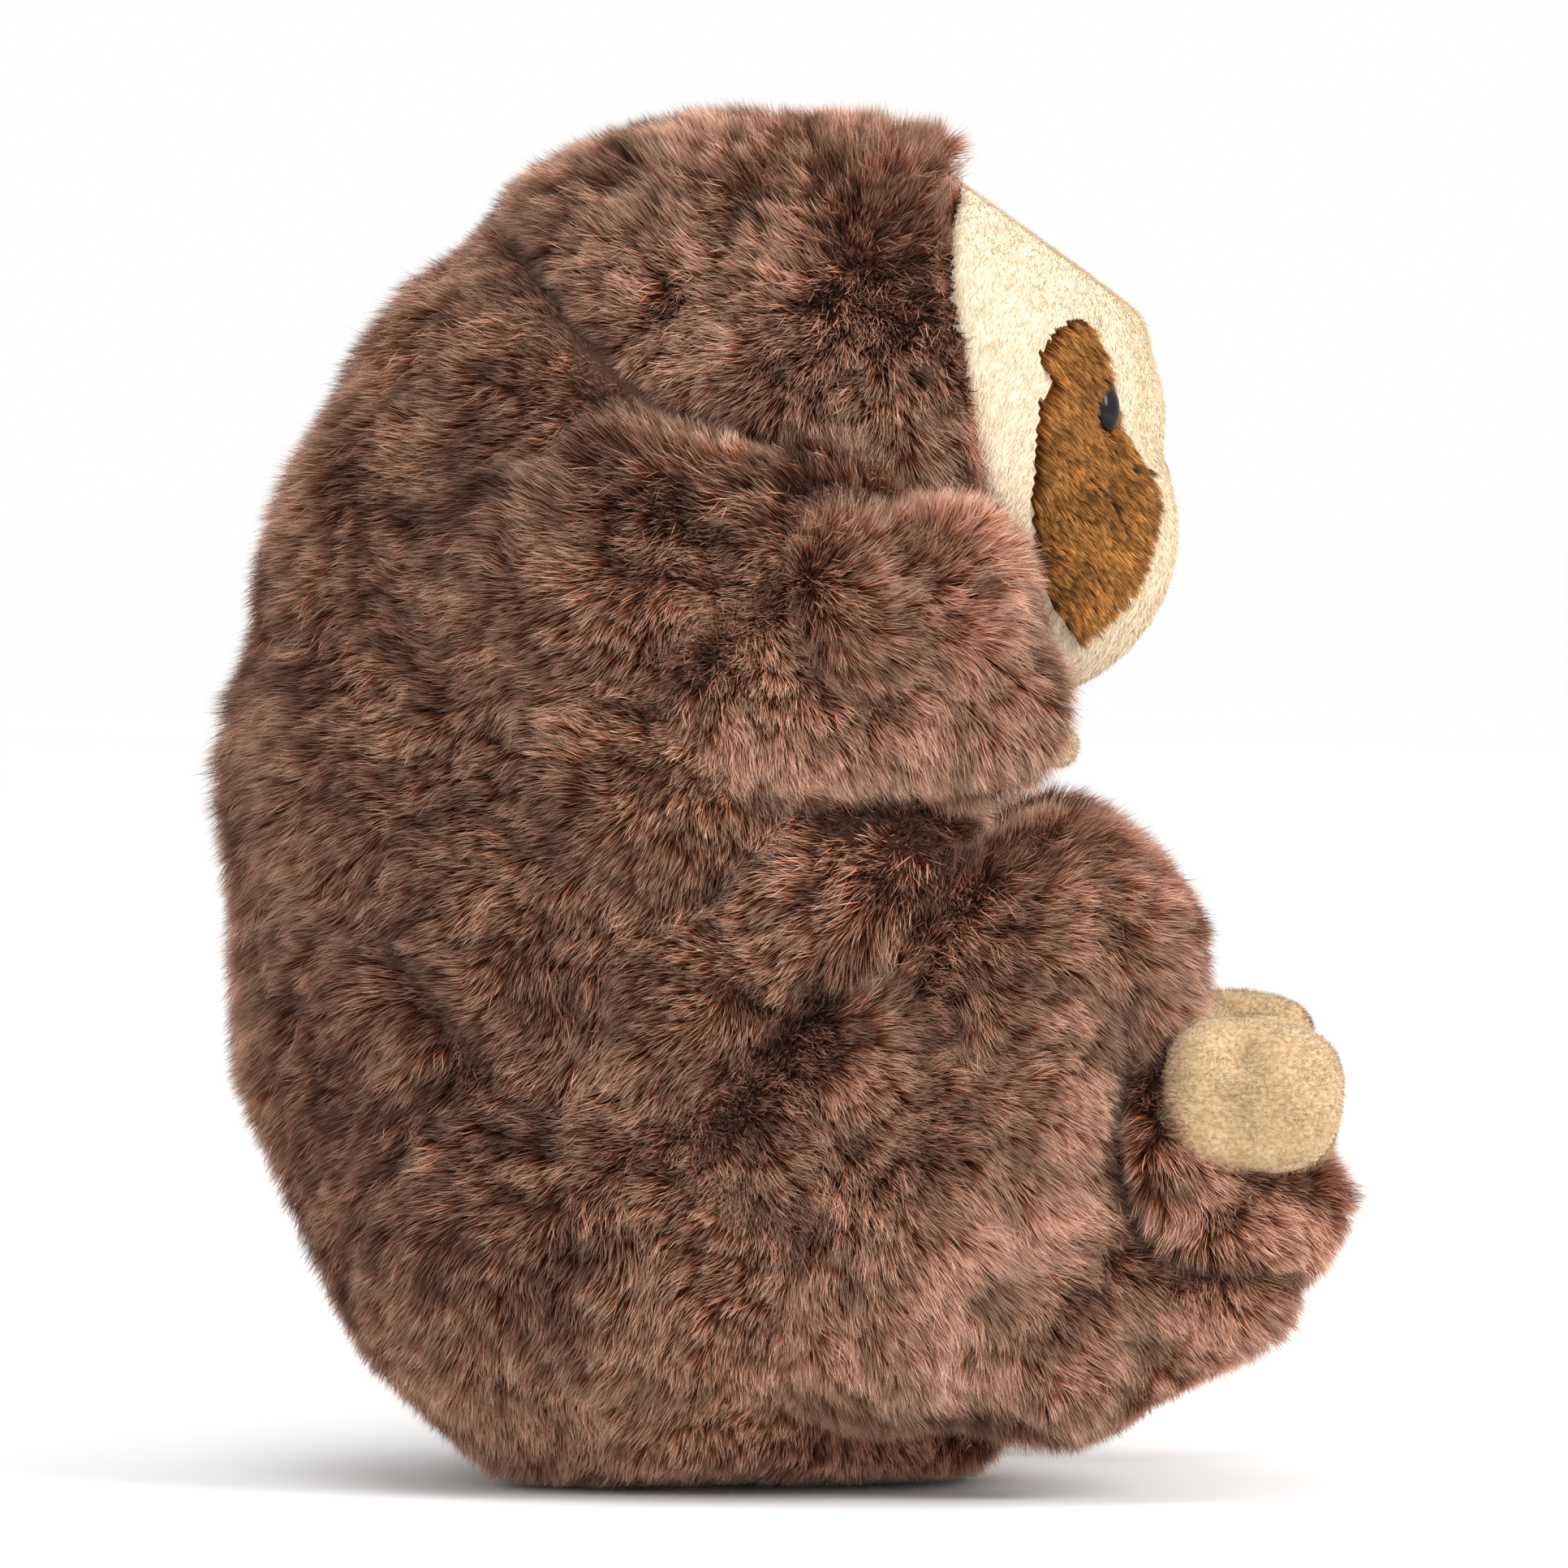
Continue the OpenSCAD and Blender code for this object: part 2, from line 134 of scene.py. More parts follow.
# ---------------------------------------------------------------------------
# The torso: four panels of backing cloth, sewn into a bag and stuffed tight.
# The skin is drawn in onto the panels and the filling, and swells out under
# each hip and shoulder, where the limbs are sewn on over it.
# ---------------------------------------------------------------------------
torso_panels = ["back_left", "back_right", "belly_panel", "base_panel"]
torso_detail = 7
back_depth = 0.0043
pile_depth = 0.0050
base_depth = 0.0020
limb_seat = 0.0035
ray_length = 0.4


class Skin:
    """Points, triangles and normals of one stuffed form, and the CAD node that each point lies on."""

    def __init__(self, points, tris, owner):
        self.points, self.tris, self.owner = points, tris, owner
        self.room = np.ones(len(points))
        self.shade = np.ones(len(points))
        ends = np.concatenate([tris[:, [0, 1]], tris[:, [1, 2]], tris[:, [2, 0]]])
        self.ends = np.unique(np.sort(ends, axis=1), axis=0)
        self.beside = np.zeros(len(points))
        np.add.at(self.beside, self.ends.ravel(), 1)

    def normals(self):
        """The way out of the skin at each point."""
        a, b, c = (self.points[self.tris[:, k]] for k in range(3))
        flat = np.cross(b - a, c - a)
        total = np.zeros_like(self.points)
        for k in range(3):
            np.add.at(total, self.tris[:, k], flat)
        return unit(total)

    def smoothed(self, values, rounds):
        """Values at the points, each drawn towards its neighbours' a number of times."""
        for _ in range(rounds):
            total = np.zeros_like(values)
            np.add.at(total, self.ends[:, 0], values[self.ends[:, 1]])
            np.add.at(total, self.ends[:, 1], values[self.ends[:, 0]])
            share = self.beside if values.ndim == 1 else self.beside[:, None]
            values = 0.4 * values + 0.6 * total / share
        return values


def unit(vectors):
    """The same directions, each of length 1."""
    return vectors / np.maximum(np.linalg.norm(vectors, axis=-1, keepdims=True), 1e-12)


def packed_tree(nodes):
    """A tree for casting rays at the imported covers, and the index of the node that each triangle is of."""
    points, tris, owner = [], [], []
    for index, node in enumerate(nodes):
        mesh = frame["nodes"][node].data
        mesh.calc_loop_triangles()
        start = len(points)
        points += [v.co.copy() for v in mesh.vertices]
        tris += [[start + v for v in t.vertices] for t in mesh.loop_triangles]
        owner += [index] * len(mesh.loop_triangles)
    return BVHTree.FromPolygons(points, tris), owner


def corners_of(node):
    """The lowest and the highest corner of a node's box."""
    return [np.array(list(corner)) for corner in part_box(node)]


def middle_of(node):
    """The middle of a node's box."""
    return sum(corners_of(node)) / 2


def round_ball(detail):
    """Points and triangles of a ball of radius 1."""
    ball = bmesh.new()
    bmesh.ops.create_icosphere(ball, subdivisions=detail, radius=1)
    ball.verts.index_update()
    points = np.array([v.co[:] for v in ball.verts])
    tris = np.array([[v.index for v in f.verts] for f in ball.faces])
    ball.free()
    return points, tris


def drawn_in(nodes, filling, detail, depth, swells=(), dents=(), presses=(), rounds=4, claim=None):
    """A ball of small triangles drawn in onto a stuffed form, then sunk by the height of its pile.

    Balls swell the form out or dent it, and a press flattens the nodes that it names."""
    tree, owner = packed_tree(nodes + [filling])
    middle = middle_of(filling)
    out, tris = round_ball(detail)
    reach = np.full(len(out), np.nan)
    own = np.full(len(out), len(nodes))
    for i, d in enumerate(out):
        hit, _, index, gone = tree.ray_cast(Vector(middle + ray_length * d), Vector(-d), ray_length)
        if hit is not None:
            reach[i] = ray_length - gone
            own[i] = owner[index]
    reach = np.where(np.isnan(reach), np.nanmean(reach), reach)
    for centre, radius in list(swells) + [(centre, -radius) for centre, radius in dents]:
        centre = np.array(centre) - middle
        across = out @ centre
        inside = across ** 2 - np.sum(centre ** 2) + radius ** 2
        half_chord = np.sqrt(np.maximum(inside, 0))
        met = (inside > 0) & (across > 0)
        if radius > 0:
            reach = np.where(met, np.maximum(reach, across + half_chord), reach)
        else:
            reach = np.where(met, np.minimum(reach, across - half_chord), reach)
    if claim is not None:
        own = claim(middle + out * reach[:, None], own)
    for place, facing, pressed in presses:
        facing = unit(np.array(facing, dtype=float))
        toward = out @ facing
        limit = ((np.array(place) - middle) @ facing) / np.where(toward > 0.05, toward, np.inf)
        limit = np.where(toward > 0.05, limit, np.inf)
        reach = np.where(np.isin(own, pressed), np.minimum(reach, limit), reach)
    skin = Skin(middle + out * reach[:, None], tris, own)
    skin.points = middle + out * skin.smoothed(reach, rounds)[:, None]
    sunk = np.array([depth[k] for k in skin.owner])
    skin.points = skin.points - skin.normals() * skin.smoothed(sunk, 3)[:, None]
    skin.points = skin.smoothed(skin.points, 2)
    return skin


def plain_piece(name, points, tris, material, body, smooth=True):
    """A piece of plain triangles that rides on a body."""
    mesh = bpy.data.meshes.new(name)
    mesh.vertices.add(len(points))
    mesh.vertices.foreach_set("co", np.ascontiguousarray(points, dtype=np.float32).ravel())
    mesh.loops.add(3 * len(tris))
    mesh.loops.foreach_set("vertex_index", np.ascontiguousarray(tris, dtype=np.int32).ravel())
    mesh.polygons.add(len(tris))
    mesh.polygons.foreach_set("loop_start", np.arange(0, 3 * len(tris), 3, dtype=np.int32))
    mesh.update(calc_edges=True)
    mesh.polygons.foreach_set("use_smooth", np.full(len(tris), smooth))
    mesh.materials.append(material)
    piece = bpy.data.objects.new(name, mesh)
    bpy.context.scene.collection.objects.link(piece)
    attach(piece, body)
    return piece


def backing(name, skin, material, body, filling):
    """The backing cloth of a stuffed form, which stands for the filling that it holds."""
    piece = plain_piece(name, skin.points, skin.tris, material, body)
    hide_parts(filling)
    return piece


joint_place = {joint["name"]: np.array(joint["pos_m"]) for joint in frame["joints"]}


def seat_of(joint, node):
    """The ball at a limb's joint, a little smaller than the limb, for the torso to swell under it."""
    low, high = corners_of(node)
    across = max(abs(high[0]), abs(low[0])) - abs(joint_place[joint][0])
    return joint_place[joint], across - limb_seat


seats = [seat_of(f"{side}_{move}", f"{limb}_{side}_outer")
         for limb, move in (("arm", "arm_open"), ("leg", "leg_splay")) for side in ("left", "right")]
flank_balls = [
    ((0.043, 0.006, 0.047), 0.0355), ((0.038, 0.024, 0.048), 0.0375), ((0.026, 0.040, 0.052), 0.0445),
    ((0.040, 0.012, 0.085), 0.0330), ((0.046, 0.022, 0.128), 0.0310), ((0.046, -0.010, 0.103), 0.0290),
    ((0.036, 0.026, 0.155), 0.0390), ((0.045, 0.000, 0.158), 0.0300), ((0.000, 0.0355, 0.150), 0.0600),
    ((0.000, 0.0330, 0.1220), 0.0683), ((0.000, 0.0310, 0.1790), 0.0478),
]
torso_balls = seats + [((sign * x, y, z), radius) for (x, y, z), radius in flank_balls for sign in (1, -1)]
rump_press = ((0, 0.0842, 0.0434), (0, 0.896, -0.444), [0, 1])
side_presses = [((sign * 0.008, 0, 0), (sign * 0.15, 0, -0.989), [0, 1, 2, 3]) for sign in (1, -1)]


def claimed_by_panel(points, own):
    """Where a limb's seat bares the filling, the nearest panel covers it."""
    by_side = np.where(points[:, 0] > 0, 0, 1)
    bare = own >= len(torso_panels)
    return np.where(bare, np.where(points[:, 1] > 0, by_side, 2), own)


torso = drawn_in(
    torso_panels, "body_stuffing", torso_detail,
    [back_depth, back_depth, pile_depth, base_depth, base_depth], torso_balls,
    presses=[rump_press] + side_presses, rounds=9, claim=claimed_by_panel)

backing_brown, nodes, links, shader = finish_with("backing_brown", 1.0, Specular_IOR_Level=0.1)
speckle(nodes, links, shader, 0.02, [(0.075, 0.036, 0.024), (0.12, 0.062, 0.043)])

backing("torso_skin", torso, backing_brown, "torso", "body_stuffing")

# ---------------------------------------------------------------------------
# The long pile of the torso: fine brown fibres, darker at the root, knitted
# into the backing and combed back and down. Each panel's pile is one piece.
# ---------------------------------------------------------------------------
pile_length = 0.0078
pile_width = 0.00023
pile_limit = 199000
tuft_spacing = 0.0030
least_lean = 0.35
root_lean = 0.55
bend_share = 0.48
short_share = 0.92
length_range = (0.72, 1.12)
width_range = (0.7, 1.25)
tone_and_shade_range = (0.3, 1.6)
swirl_wide, swirl_fine = 0.016, 0.006
parting_wide, parting_fine = 0.010, 0.0035
parting_height = 0.30
parting_shade = 0.20
off_the_floor = 0.0004
brown_root = (0.030, 0.0030, 0.0012)
brown_middle = (0.232, 0.072, 0.034)
brown_tip = (0.700, 0.462, 0.340)


def pile_finish(name, root, middle, tip, patch_size, patch_depth):
    """Root, middle and tip colours along each fibre, scaled by each fibre's random tone with its painted shade and
    light, and slow patches over the whole pile.
    """
    material, nodes, links, shader = finish_with(
        name, 0.8, Specular_IOR_Level=0.03, Sheen_Weight=0.01, Sheen_Roughness=0.5)
    along = nodes.new("ShaderNodeAttribute")
    along.attribute_name = "along"
    tone_and_shade = nodes.new("ShaderNodeAttribute")
    tone_and_shade.attribute_name = "tone_and_shade"
    ramp = nodes.new("ShaderNodeValToRGB")
    ramp.color_ramp.elements.new(0.5)
    for stop, place, colour in zip(ramp.color_ramp.elements, (0.05, 0.55, 1.0), (root, middle, tip)):
        stop.position = place
        stop.color = (*colour, 1)
    where = nodes.new("ShaderNodeTexCoord")
    cloud = nodes.new("ShaderNodeTexNoise")
    cloud.inputs["Scale"].default_value = 1 / patch_size
    cloud.inputs["Detail"].default_value = 2
    spread = nodes.new("ShaderNodeMapRange")
    spread.inputs["From Min"].default_value = 0.3
    spread.inputs["From Max"].default_value = 0.7
    spread.inputs["To Min"].default_value = 1 - patch_depth
    spread.inputs["To Max"].default_value = 1 + patch_depth
    both = nodes.new("ShaderNodeMath")
    both.operation = "MULTIPLY"
    tinted = nodes.new("ShaderNodeVectorMath")
    tinted.operation = "SCALE"
    links.new(along.outputs["Fac"], ramp.inputs["Fac"])
    links.new(where.outputs["Object"], cloud.inputs["Vector"])
    links.new(cloud.outputs["Fac"], spread.inputs["Value"])
    links.new(spread.outputs["Result"], both.inputs[0])
    links.new(tone_and_shade.outputs["Fac"], both.inputs[1])
    links.new(ramp.outputs["Color"], tinted.inputs[0])
    links.new(both.outputs["Value"], tinted.inputs["Scale"])
    links.new(tinted.outputs["Vector"], shader.inputs["Base Color"])
    return material


def drift(points, size, seed):
    """A smooth random number at each point, mostly from -1 to 1, that changes over about the given size."""
    count = 9
    dice = np.random.default_rng(seed)
    waves = unit(dice.normal(size=(count, 3))) * dice.uniform(0.6, 1.5, (count, 1)) * math.tau / (2 * size)
    return np.sin(points @ waves.T + dice.uniform(0, math.tau, count)).sum(axis=1) / 2.2


def tuft_of(roots, spacing, area, dice):
    """The nearest tuft to each fibre, as the index of the fibre at that tuft's heart."""
    hearts = dice.choice(len(roots), max(1, min(len(roots), int(area / spacing ** 2))), replace=False)
    tree = KDTree(len(hearts))
    for index, heart in enumerate(hearts):
        tree.insert(roots[heart], index)
    tree.balance()
    return hearts[np.array([tree.find(root)[1] for root in roots])]


def near_line(points, line, width):
    """From 0 to 1, how near each point lies to a line drawn on both flanks, given as its y and z."""
    flat = points[:, 1:3]
    best = np.full(len(points), np.inf)
    for a, b in zip(np.array(line[:-1]), np.array(line[1:])):
        along = np.clip((flat - a) @ (b - a) / ((b - a) @ (b - a)), 0, 1)
        best = np.minimum(best, np.linalg.norm(flat - a - along[:, None] * (b - a), axis=1))
    return np.exp(-(best / width) ** 2)


def creased(skin, line, width, sunk, painted_shade, shortening=0.3):
    """Draws a fold into a skin along a line: pushed in, with painted shade darkening it, and with shorter pile."""
    fold = near_line(skin.points, line, width)
    skin.points = skin.points - skin.normals() * (sunk * fold)[:, None]
    skin.room = skin.room * (1 - shortening * fold)
    skin.shade = skin.shade * (1 - painted_shade * fold)


def grow_pile(name, skin, own, comb, material, body, node, density, seed,
              length=pile_length, width=pile_width, lift=(1.15, 1.05), swirl=0.35, ruffle=0.30, pull=0.35,
              spacing=tuft_spacing, tone_spread=0.26, keep=None, bent_share=0.12, unrest=1.0, rounded=0.35):
    """Fibres on the part of a skin that lies on the given nodes, standing for a cover if one is named.

    Some are long and bend over, as blades of three triangles, and the rest are short and straight.
    The density is in fibres to a square millimetre."""
    dice = np.random.default_rng(seed)
    normals = skin.normals()
    a, b, c = (skin.points[skin.tris[:, k]] for k in range(3))
    area = np.linalg.norm(np.cross(b - a, c - a), axis=1) / 2
    area = area * np.isin(skin.owner[skin.tris[:, 0]], own)
    if keep is not None:
        area = area * keep((a + b + c) / 3)
    total = area.sum()
    count = int(min(pile_limit / (1 + 2 * bent_share), total * 1e6 * density))
    bent = int(count * bent_share)
    corner = skin.tris[dice.choice(len(area), count, p=area / total)]
    u, v = dice.random((2, count))
    folded = u + v > 1
    u, v = np.where(folded, 1 - u, u), np.where(folded, 1 - v, v)
    mix = np.stack([1 - u - v, u, v], axis=1)
    root = np.einsum("ij,ijk->ik", mix, skin.points[corner])
    normal = unit(np.einsum("ij,ijk->ik", mix, normals[corner]))
    room = np.einsum("ij,ij->i", mix, skin.room[corner])
    shade = np.einsum("ij,ij->i", mix, skin.shade[corner])

    run = comb(root)
    laid = np.clip(np.linalg.norm(run, axis=1, keepdims=True), least_lean, 1)
    run = laid * unit(run - np.sum(run * normal, axis=1, keepdims=True) * normal)
    side = np.cross(normal, run)
    turn = swirl * (drift(root, swirl_wide, seed + 1) + 0.7 * drift(root, swirl_fine, seed + 2))
    run = run * np.cos(turn)[:, None] + side * np.sin(turn)[:, None]
    parted = 0.5 * drift(root, parting_wide, seed + 3) + 0.8 * drift(root, parting_fine, seed + 5)
    stand = 1 + unrest * parting_height * parted
    # Where the pile stands up at a parting its colour gets painted shade, as of roots seen between the fibres, and
    # where it lies down, painted light.
    shade = shade * np.clip(1 - unrest * parting_shade * parted, 0.45, 1.5)
    low = unit(normal * lift[0] + run * root_lean + ruffle * 0.7 * dice.normal(size=(count, 3)))
    high = unit(normal * (lift[1] * stand)[:, None] + run + ruffle * dice.normal(size=(count, 3)))
    size = length * room * (1 + unrest * 0.10 * drift(root, 0.02, seed + 4))
    size = size * dice.uniform(*length_range, count)
    size[bent:] *= short_share
    mid = root + low * (size * bend_share)[:, None]
    tip = mid + high * (size * (1 - bend_share))[:, None]
    heart = tuft_of(root, spacing, total, dice)
    tip = tip + pull * (tip[heart] - tip) * dice.uniform(0.3, 1.0, (count, 1))
    mid = mid + 0.4 * pull * (mid[heart] - mid)
    tip[:, 2] = np.maximum(tip[:, 2], off_the_floor)
    mid[:, 2] = np.maximum(mid[:, 2], off_the_floor)

    flat = unit(np.cross(tip - root, normal))
    twist = dice.normal(0, 0.7, count)
    flat = unit(flat * np.cos(twist)[:, None] + normal * np.sin(twist)[:, None])
    half = width / 2 * dice.uniform(*width_range, (count, 1))
    foot_a, foot_b = root - flat * half, root + flat * half
    bend_a, bend_b = mid - flat * half * 0.85, mid + flat * half * 0.85
    long = np.stack([foot_a, foot_b, bend_a, bend_b, tip], axis=1)[:bent].reshape(-1, 3)
    short = np.stack([foot_a, foot_b, tip], axis=1)[bent:].reshape(-1, 3)
    first = 5 * np.arange(bent)[:, None]
    tris = np.concatenate([
        np.stack([first + [0, 1, 3], first + [0, 3, 2], first + [2, 3, 4]], axis=1).reshape(-1, 3),
        5 * bent + np.arange(3 * (count - bent)).reshape(-1, 3)])
    piece = plain_piece(name, np.concatenate([long, short]), tris, material, body, smooth=False)
    facing = np.cross(flat, tip - root)
    facing = unit(facing * np.sign(np.sum(facing * normal, axis=1, keepdims=True) + 1e-9))
    facing = unit(rounded * normal + (1 - rounded) * facing)
    corners = np.concatenate([np.repeat(np.arange(bent), 5), np.repeat(np.arange(bent, count), 3)])
    shown = piece.data.attributes.new("custom_normal", "FLOAT_VECTOR", "POINT")
    shown.data.foreach_set("vector", facing[corners].astype(np.float32).ravel())
    # Each fibre's tone differs at random by fibre and by tuft, and is multiplied by the skin's painted shade and
    # light.
    of_fibre = 1 + tone_spread * dice.normal(size=count)
    of_tuft = 1 + 0.75 * tone_spread * dice.normal(size=count)[heart]
    tone_and_shade = np.clip(of_fibre * of_tuft * shade, *tone_and_shade_range)
    along = np.concatenate([np.tile([0.0, 0.0, 0.5, 0.5, 1.0], bent), np.tile([0.0, 0.0, 1.0], count - bent)])
    for label, values in (("along", along), ("tone_and_shade", tone_and_shade[corners])):
        layer = piece.data.attributes.new(label, "FLOAT", "POINT")
        layer.data.foreach_set("value", values.astype(np.float32))
    if node is not None:
        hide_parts(node)


full_room = 0.0105
least_room = 0.7


def leave_room(skin, body, sunk):
    """Shortens the pile where a neighbour on another body lies close over the skin."""
    others = [node for name, held in frame["record"]["behaviour"]["bodies"].items() if name != body
              for node in held
              if node.endswith(("outer", "inner", "cover", "panel")) or node.startswith(("hood", "back"))]
    tree, _ = packed_tree(others)
    gap = np.array([tree.find_nearest(Vector(p))[3] for p in skin.points])
    skin.room = skin.smoothed(np.clip((gap + sunk) / full_room, least_room, 1), 2)


leave_room(torso, "torso", 0.0015)
brown_pile = pile_finish("brown_pile", brown_root, brown_middle, brown_tip, 0.03, 0.18)
# The waist and neck folds, pushed in and with painted shade along them.
waist_fold = [(0.067, 0.098), (0.058, 0.086), (0.052, 0.078)]
neck_fold = [(0.0470, 0.2190), (0.0355, 0.2035), (0.0215, 0.1893), (0.0017, 0.1838)]
creased(torso, waist_fold, 0.0030, 0.0020, 0.4)
creased(torso, neck_fold, 0.0035, 0.0030, 0.5)


def shaded_hollows(skin, hollows, painted_shade=0.24):
    """Soft dark places of painted shade, given as y, z and reach on both flanks."""
    for y, z, reach in hollows:
        away = np.hypot(skin.points[:, 1] - y, skin.points[:, 2] - z)
        skin.shade = skin.shade * (1 - painted_shade * np.exp(-(away / reach) ** 2))


# Painted shade in soft hollows of the torso's back and flanks.
shaded_hollows(torso, [
    (0.030, 0.174, 0.013), (0.052, 0.121, 0.014), (0.034, 0.118, 0.010),
    (0.062, 0.066, 0.016), (0.042, 0.088, 0.010)])


def ramp_up(values, start, end):
    """From 0 at the start to 1 at the end."""
    return np.clip((values - start) / (end - start), 0, 1)


base_middle = [0, 0.009, 0]


def combed_torso(points):
    """Back along the flanks, turning down towards the base and round the front of the belly."""
    height = ramp_up(points[:, 2], 0, 0.16)
    front = ramp_up(points[:, 1], 0, -0.04)
    run = unit(np.stack([
        0.1 * np.sign(points[:, 0]), 0.25 + 0.75 * height - 0.9 * front, -1.15 + 0.85 * height], axis=1))
    spread = ramp_up(points[:, 2], 0.005, 0)[:, None]
    outward = unit(points * [1, 1, 0] - base_middle)
    return unit(run * (1 - spread) + outward * spread)


# Painted shade darkens the flanks behind the limbs the most, and painted light brightens the pile near the floor,
# which is also shorter there.
shade_behind_limbs = ramp_up(torso.points[:, 1], 0, 0.035) * ramp_up(np.abs(torso.points[:, 0]), 0, 0.045)
torso.shade = torso.shade * (1 - 0.30 * shade_behind_limbs + 0.55 * ramp_up(torso.points[:, 2], 0.040, 0))
torso.room = torso.room * (1 - 0.30 * ramp_up(torso.points[:, 2], 0.008, 0))

head_balls = [((0, -0.006, 0.188), 0.054), ((0, 0.008, 0.197), 0.046)]
bare_depth = 0.008


def outside_the_seats(points):
    """None where a limb or the head hides the torso."""
    shown = np.ones(len(points))
    for centre, radius in seats + head_balls:
        deep = np.linalg.norm(points - np.array(centre), axis=1) < radius - bare_depth
        shown = np.where(deep, 0, shown)
    return shown


base_length = 0.0070
for index, (node, seed, density, length) in enumerate((
        ("back_left", 11, 9.0, pile_length), ("back_right", 21, 9.0, pile_length),
        ("belly_panel", 31, 5.0, pile_length), ("base_panel", 41, 6.0, base_length))):
    grow_pile(node + "_pile", torso, [index], combed_torso, brown_pile, "torso", node,
              density, seed, length=length, keep=outside_the_seats, unrest=1.35)

# ---------------------------------------------------------------------------
# The head: one stuffed ball with a brow and a muzzle. Two hood panels of the
# long pile cover its top and back; the face is a shorter cream plush with a
# caramel patch let in round each eye.
# ---------------------------------------------------------------------------
head_panels = ["hood_left", "hood_right", "face_panel", "eye_patch_left", "eye_patch_right"]
head_detail = 7
face_depth = 0.0016
face_edge = [
    (0.120, -0.0500), (0.165, -0.0420), (0.175, -0.0340), (0.190, -0.0315), (0.200, -0.0305),
    (0.210, -0.0290), (0.222, -0.0285), (0.229, -0.0305), (0.245, -0.0315)]
patch_edge = [
    (-0.0515, 0.2050), (-0.0478, 0.2035), (-0.0440, 0.1995), (-0.0438, 0.1975), (-0.0462, 0.1958),
    (-0.0458, 0.1930), (-0.0438, 0.1905), (-0.0430, 0.1810), (-0.0425, 0.1700), (-0.0428, 0.1610),
    (-0.0460, 0.1540), (-0.0508, 0.1480), (-0.0545, 0.1510), (-0.0600, 0.1565), (-0.0632, 0.1640),
    (-0.0652, 0.1735), (-0.0638, 0.1785), (-0.0612, 0.1810), (-0.0585, 0.1860), (-0.0568, 0.1925),
    (-0.0560, 0.1980), (-0.0538, 0.2030),
]
nape_ball = ((0, 0.0185, 0.1925), 0.0475)
muzzle_ball = ((0, -0.0405, 0.1870), 0.0273)
nose_dent = ((0, -0.0722, 0.1770), 0.0062)
brow_press = ((0, -0.0315, 0.2293), (0, -0.584, 0.812), [2, 3, 4])


def within(flat, edge):
    """Which points of a flat drawing lie inside a closed outline."""
    inside = np.zeros(len(flat), dtype=bool)
    for (y1, z1), (y2, z2) in zip(edge, edge[1:] + edge[:1]):
        spans = (z1 > flat[:, 1]) != (z2 > flat[:, 1])
        crossing = (y2 - y1) * (flat[:, 1] - z1) / ((z2 - z1) if z2 != z1 else 1) + y1
        inside ^= spans & (flat[:, 0] < crossing)
    return inside


def behind_face_edge(points):
    """How far behind the seam of hood and face each point lies."""
    return points[:, 1] - np.interp(points[:, 2], *np.array(face_edge).T)


def claimed_by_face(points, own):
    """The face runs to the hood's edge, and the patches are let into it on each side of the muzzle."""
    left = points[:, 0] > 0
    patched = within(points[:, 1:3], patch_edge) & (np.abs(points[:, 0]) > 0.010)
    of_face = np.where(patched, np.where(left, 3, 4), 2)
    return np.where(behind_face_edge(points) > 0, np.where(left, 0, 1), of_face)


head = drawn_in(
    head_panels, "head_stuffing", head_detail, [pile_depth] * 2 + [face_depth] * 4,
    swells=[nape_ball, muzzle_ball], dents=[nose_dent], presses=[brow_press], claim=claimed_by_face)
leave_room(head, "head", 0.008)
# The neck fold runs on into the head. The hood's pile gets painted shade, a little darker all over, and painted
# light along the face's edge, where the step down to the face shades its roots; its pile is also longer at that
# edge.
creased(head, neck_fold, 0.0035, 0.0030, 0.5)
hooded = head.owner < 2
at_edge = np.exp(-(behind_face_edge(head.points) / 0.0035) ** 2)
head.shade = head.shade * np.where(hooded, 0.97 + 0.45 * at_edge, 1.0)
shaded_hollows(head, [(0.010, 0.186, 0.012), (-0.004, 0.176, 0.012)])
head.room = head.room * (1 + 0.2 * at_edge * hooded)

backing_cream, nodes, links, shader = finish_with("backing_cream", 1.0, Specular_IOR_Level=0.1)
speckle(nodes, links, shader, 0.01, [(0.70, 0.59, 0.43), (0.715, 0.605, 0.45)])
backing_caramel, nodes, links, shader = finish_with("backing_caramel", 1.0, Specular_IOR_Level=0.1)
speckle(nodes, links, shader, 0.01, [(0.12, 0.045, 0.010), (0.20, 0.08, 0.022)])

head_skin = backing("head_skin", head, backing_brown, "head", "head_stuffing")
head_skin.data.materials.append(backing_cream)
head_skin.data.materials.append(backing_caramel)
cloth_of = np.array([0, 0, 1, 2, 2, 1])
head_skin.data.polygons.foreach_set("material_index", cloth_of[head.owner[head.tris[:, 0]]])


def combed_hood(points):
    """Forward over the edge of the face, upright a little behind it, then back, and down at the sides."""
    side = ramp_up(np.abs(points[:, 0]), 0, 0.05)
    fringe = np.exp(-np.clip((points[:, 1] + 0.031) / 0.020, 0, 9))
    jaw = ramp_up(points[:, 2], 0.200, 0.180)
    brink = np.exp(-np.clip((points[:, 1] + 0.029) / 0.004, 0, 9)) * ramp_up(points[:, 2], 0.222, 0.228)
    turning = 4 * fringe * (1 - fringe) * side
    return np.stack([
        0 * side, 0.9 - 1.7 * fringe - 0.6 * jaw,
        0.25 - 0.55 * side - 0.6 * jaw - 1.3 * brink - 0.5 * turning], axis=1)


hood_density = 10.5
for index, (node, seed) in enumerate((("hood_left", 51), ("hood_right", 61))):
    grow_pile(node + "_pile", head, [index], combed_hood, brown_pile, "head", node,
              hood_density, seed)

cream_pile = pile_finish(
    "cream_pile", (0.710, 0.595, 0.430), (0.725, 0.610, 0.450), (0.740, 0.630, 0.480), 0.03, 0.01)


